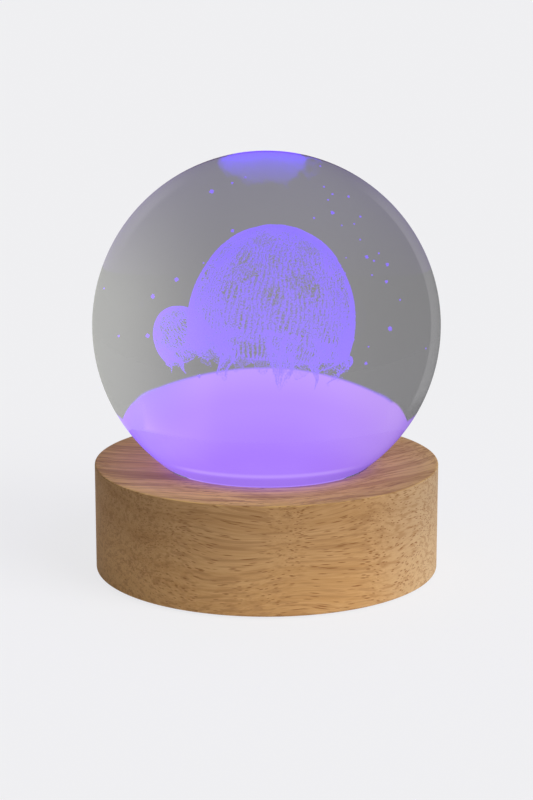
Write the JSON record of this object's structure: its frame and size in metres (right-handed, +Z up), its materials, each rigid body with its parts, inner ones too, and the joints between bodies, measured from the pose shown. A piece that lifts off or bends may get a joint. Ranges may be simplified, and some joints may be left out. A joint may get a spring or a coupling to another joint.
{
  "type": "crystal ball lamp",
  "caption": "Table lamp: a solid glass ball that lifts off a turned wooden base with a light board, a plug pocket and a push button.",
  "frame": {"origin": "middle of the footprint, on the surface the feet stand on", "axes": "+Z up; the plain side of the base that the picture shows faces -Y; the plug pocket faces +Y"},
  "size_m": [0.08, 0.08, 0.0974],
  "materials": {
    "clear_glass": "polished solid glass, lit violet from below",
    "engraved_glass": "fine cracks in the glass, lit violet",
    "clear_silicone": "soft, translucent",
    "oiled_wood": "fine sanded and oiled, open pores",
    "frosted_lens": "frosted",
    "white_plastic": "moulded, fine matt",
    "white_laminate": "white lacquered circuit board",
    "led_package": "glossy white package with a clear dish",
    "black_resin": "moulded resin",
    "resistor_ceramic": "glazed, with tinned ends",
    "capacitor_resin": "moulded resin",
    "plated_steel": "nickel plated",
    "black_plastic": "moulded, fine grain",
    "foot_rubber": "matt rubber"
  },
  "bodies": {
    "base": {"wood_base": "oiled_wood", "seat_ring": "clear_silicone", "diffuser_lens": "frosted_lens", "reflector_cup": "white_plastic", "led_board": "white_laminate", "rgb_led_1": "led_package", "rgb_led_2": "led_package", "rgb_led_3": "led_package", "rgb_led_4": "led_package", "controller_chip": "black_resin", "resistor_1": "resistor_ceramic", "resistor_2": "resistor_ceramic", "resistor_3": "resistor_ceramic", "capacitor": "capacitor_resin", "port_shell": "plated_steel", "port_insert": "black_resin", "switch_body": "black_resin", "bottom_cover": "black_plastic", "cover_screw_1": "plated_steel", "cover_screw_2": "plated_steel", "cover_screw_3": "plated_steel", "board_screw_1": "plated_steel", "board_screw_2": "plated_steel", "board_screw_3": "plated_steel", "rubber_foot_1": "foot_rubber", "rubber_foot_2": "foot_rubber", "rubber_foot_3": "foot_rubber", "rubber_foot_4": "foot_rubber"},
    "ball": {"crystal_ball": "clear_glass", "engraved_figure": "engraved_glass"},
    "power_button": {"push_button": "black_plastic", "switch_plunger": "plated_steel"}
  },
  "joints": [
    {"name": "ball_lift", "type": "slide", "parent": "base", "child": "ball", "axis": [0, 0, 1], "range_m": [0, 0.045]},
    {"name": "button_press", "type": "slide", "parent": "base", "child": "power_button", "axis": [-0.5, -0.866, 0], "range_m": [0, 0.0006], "stiffness_N_per_m": 800, "springref_m": -0.0005}
  ]
}
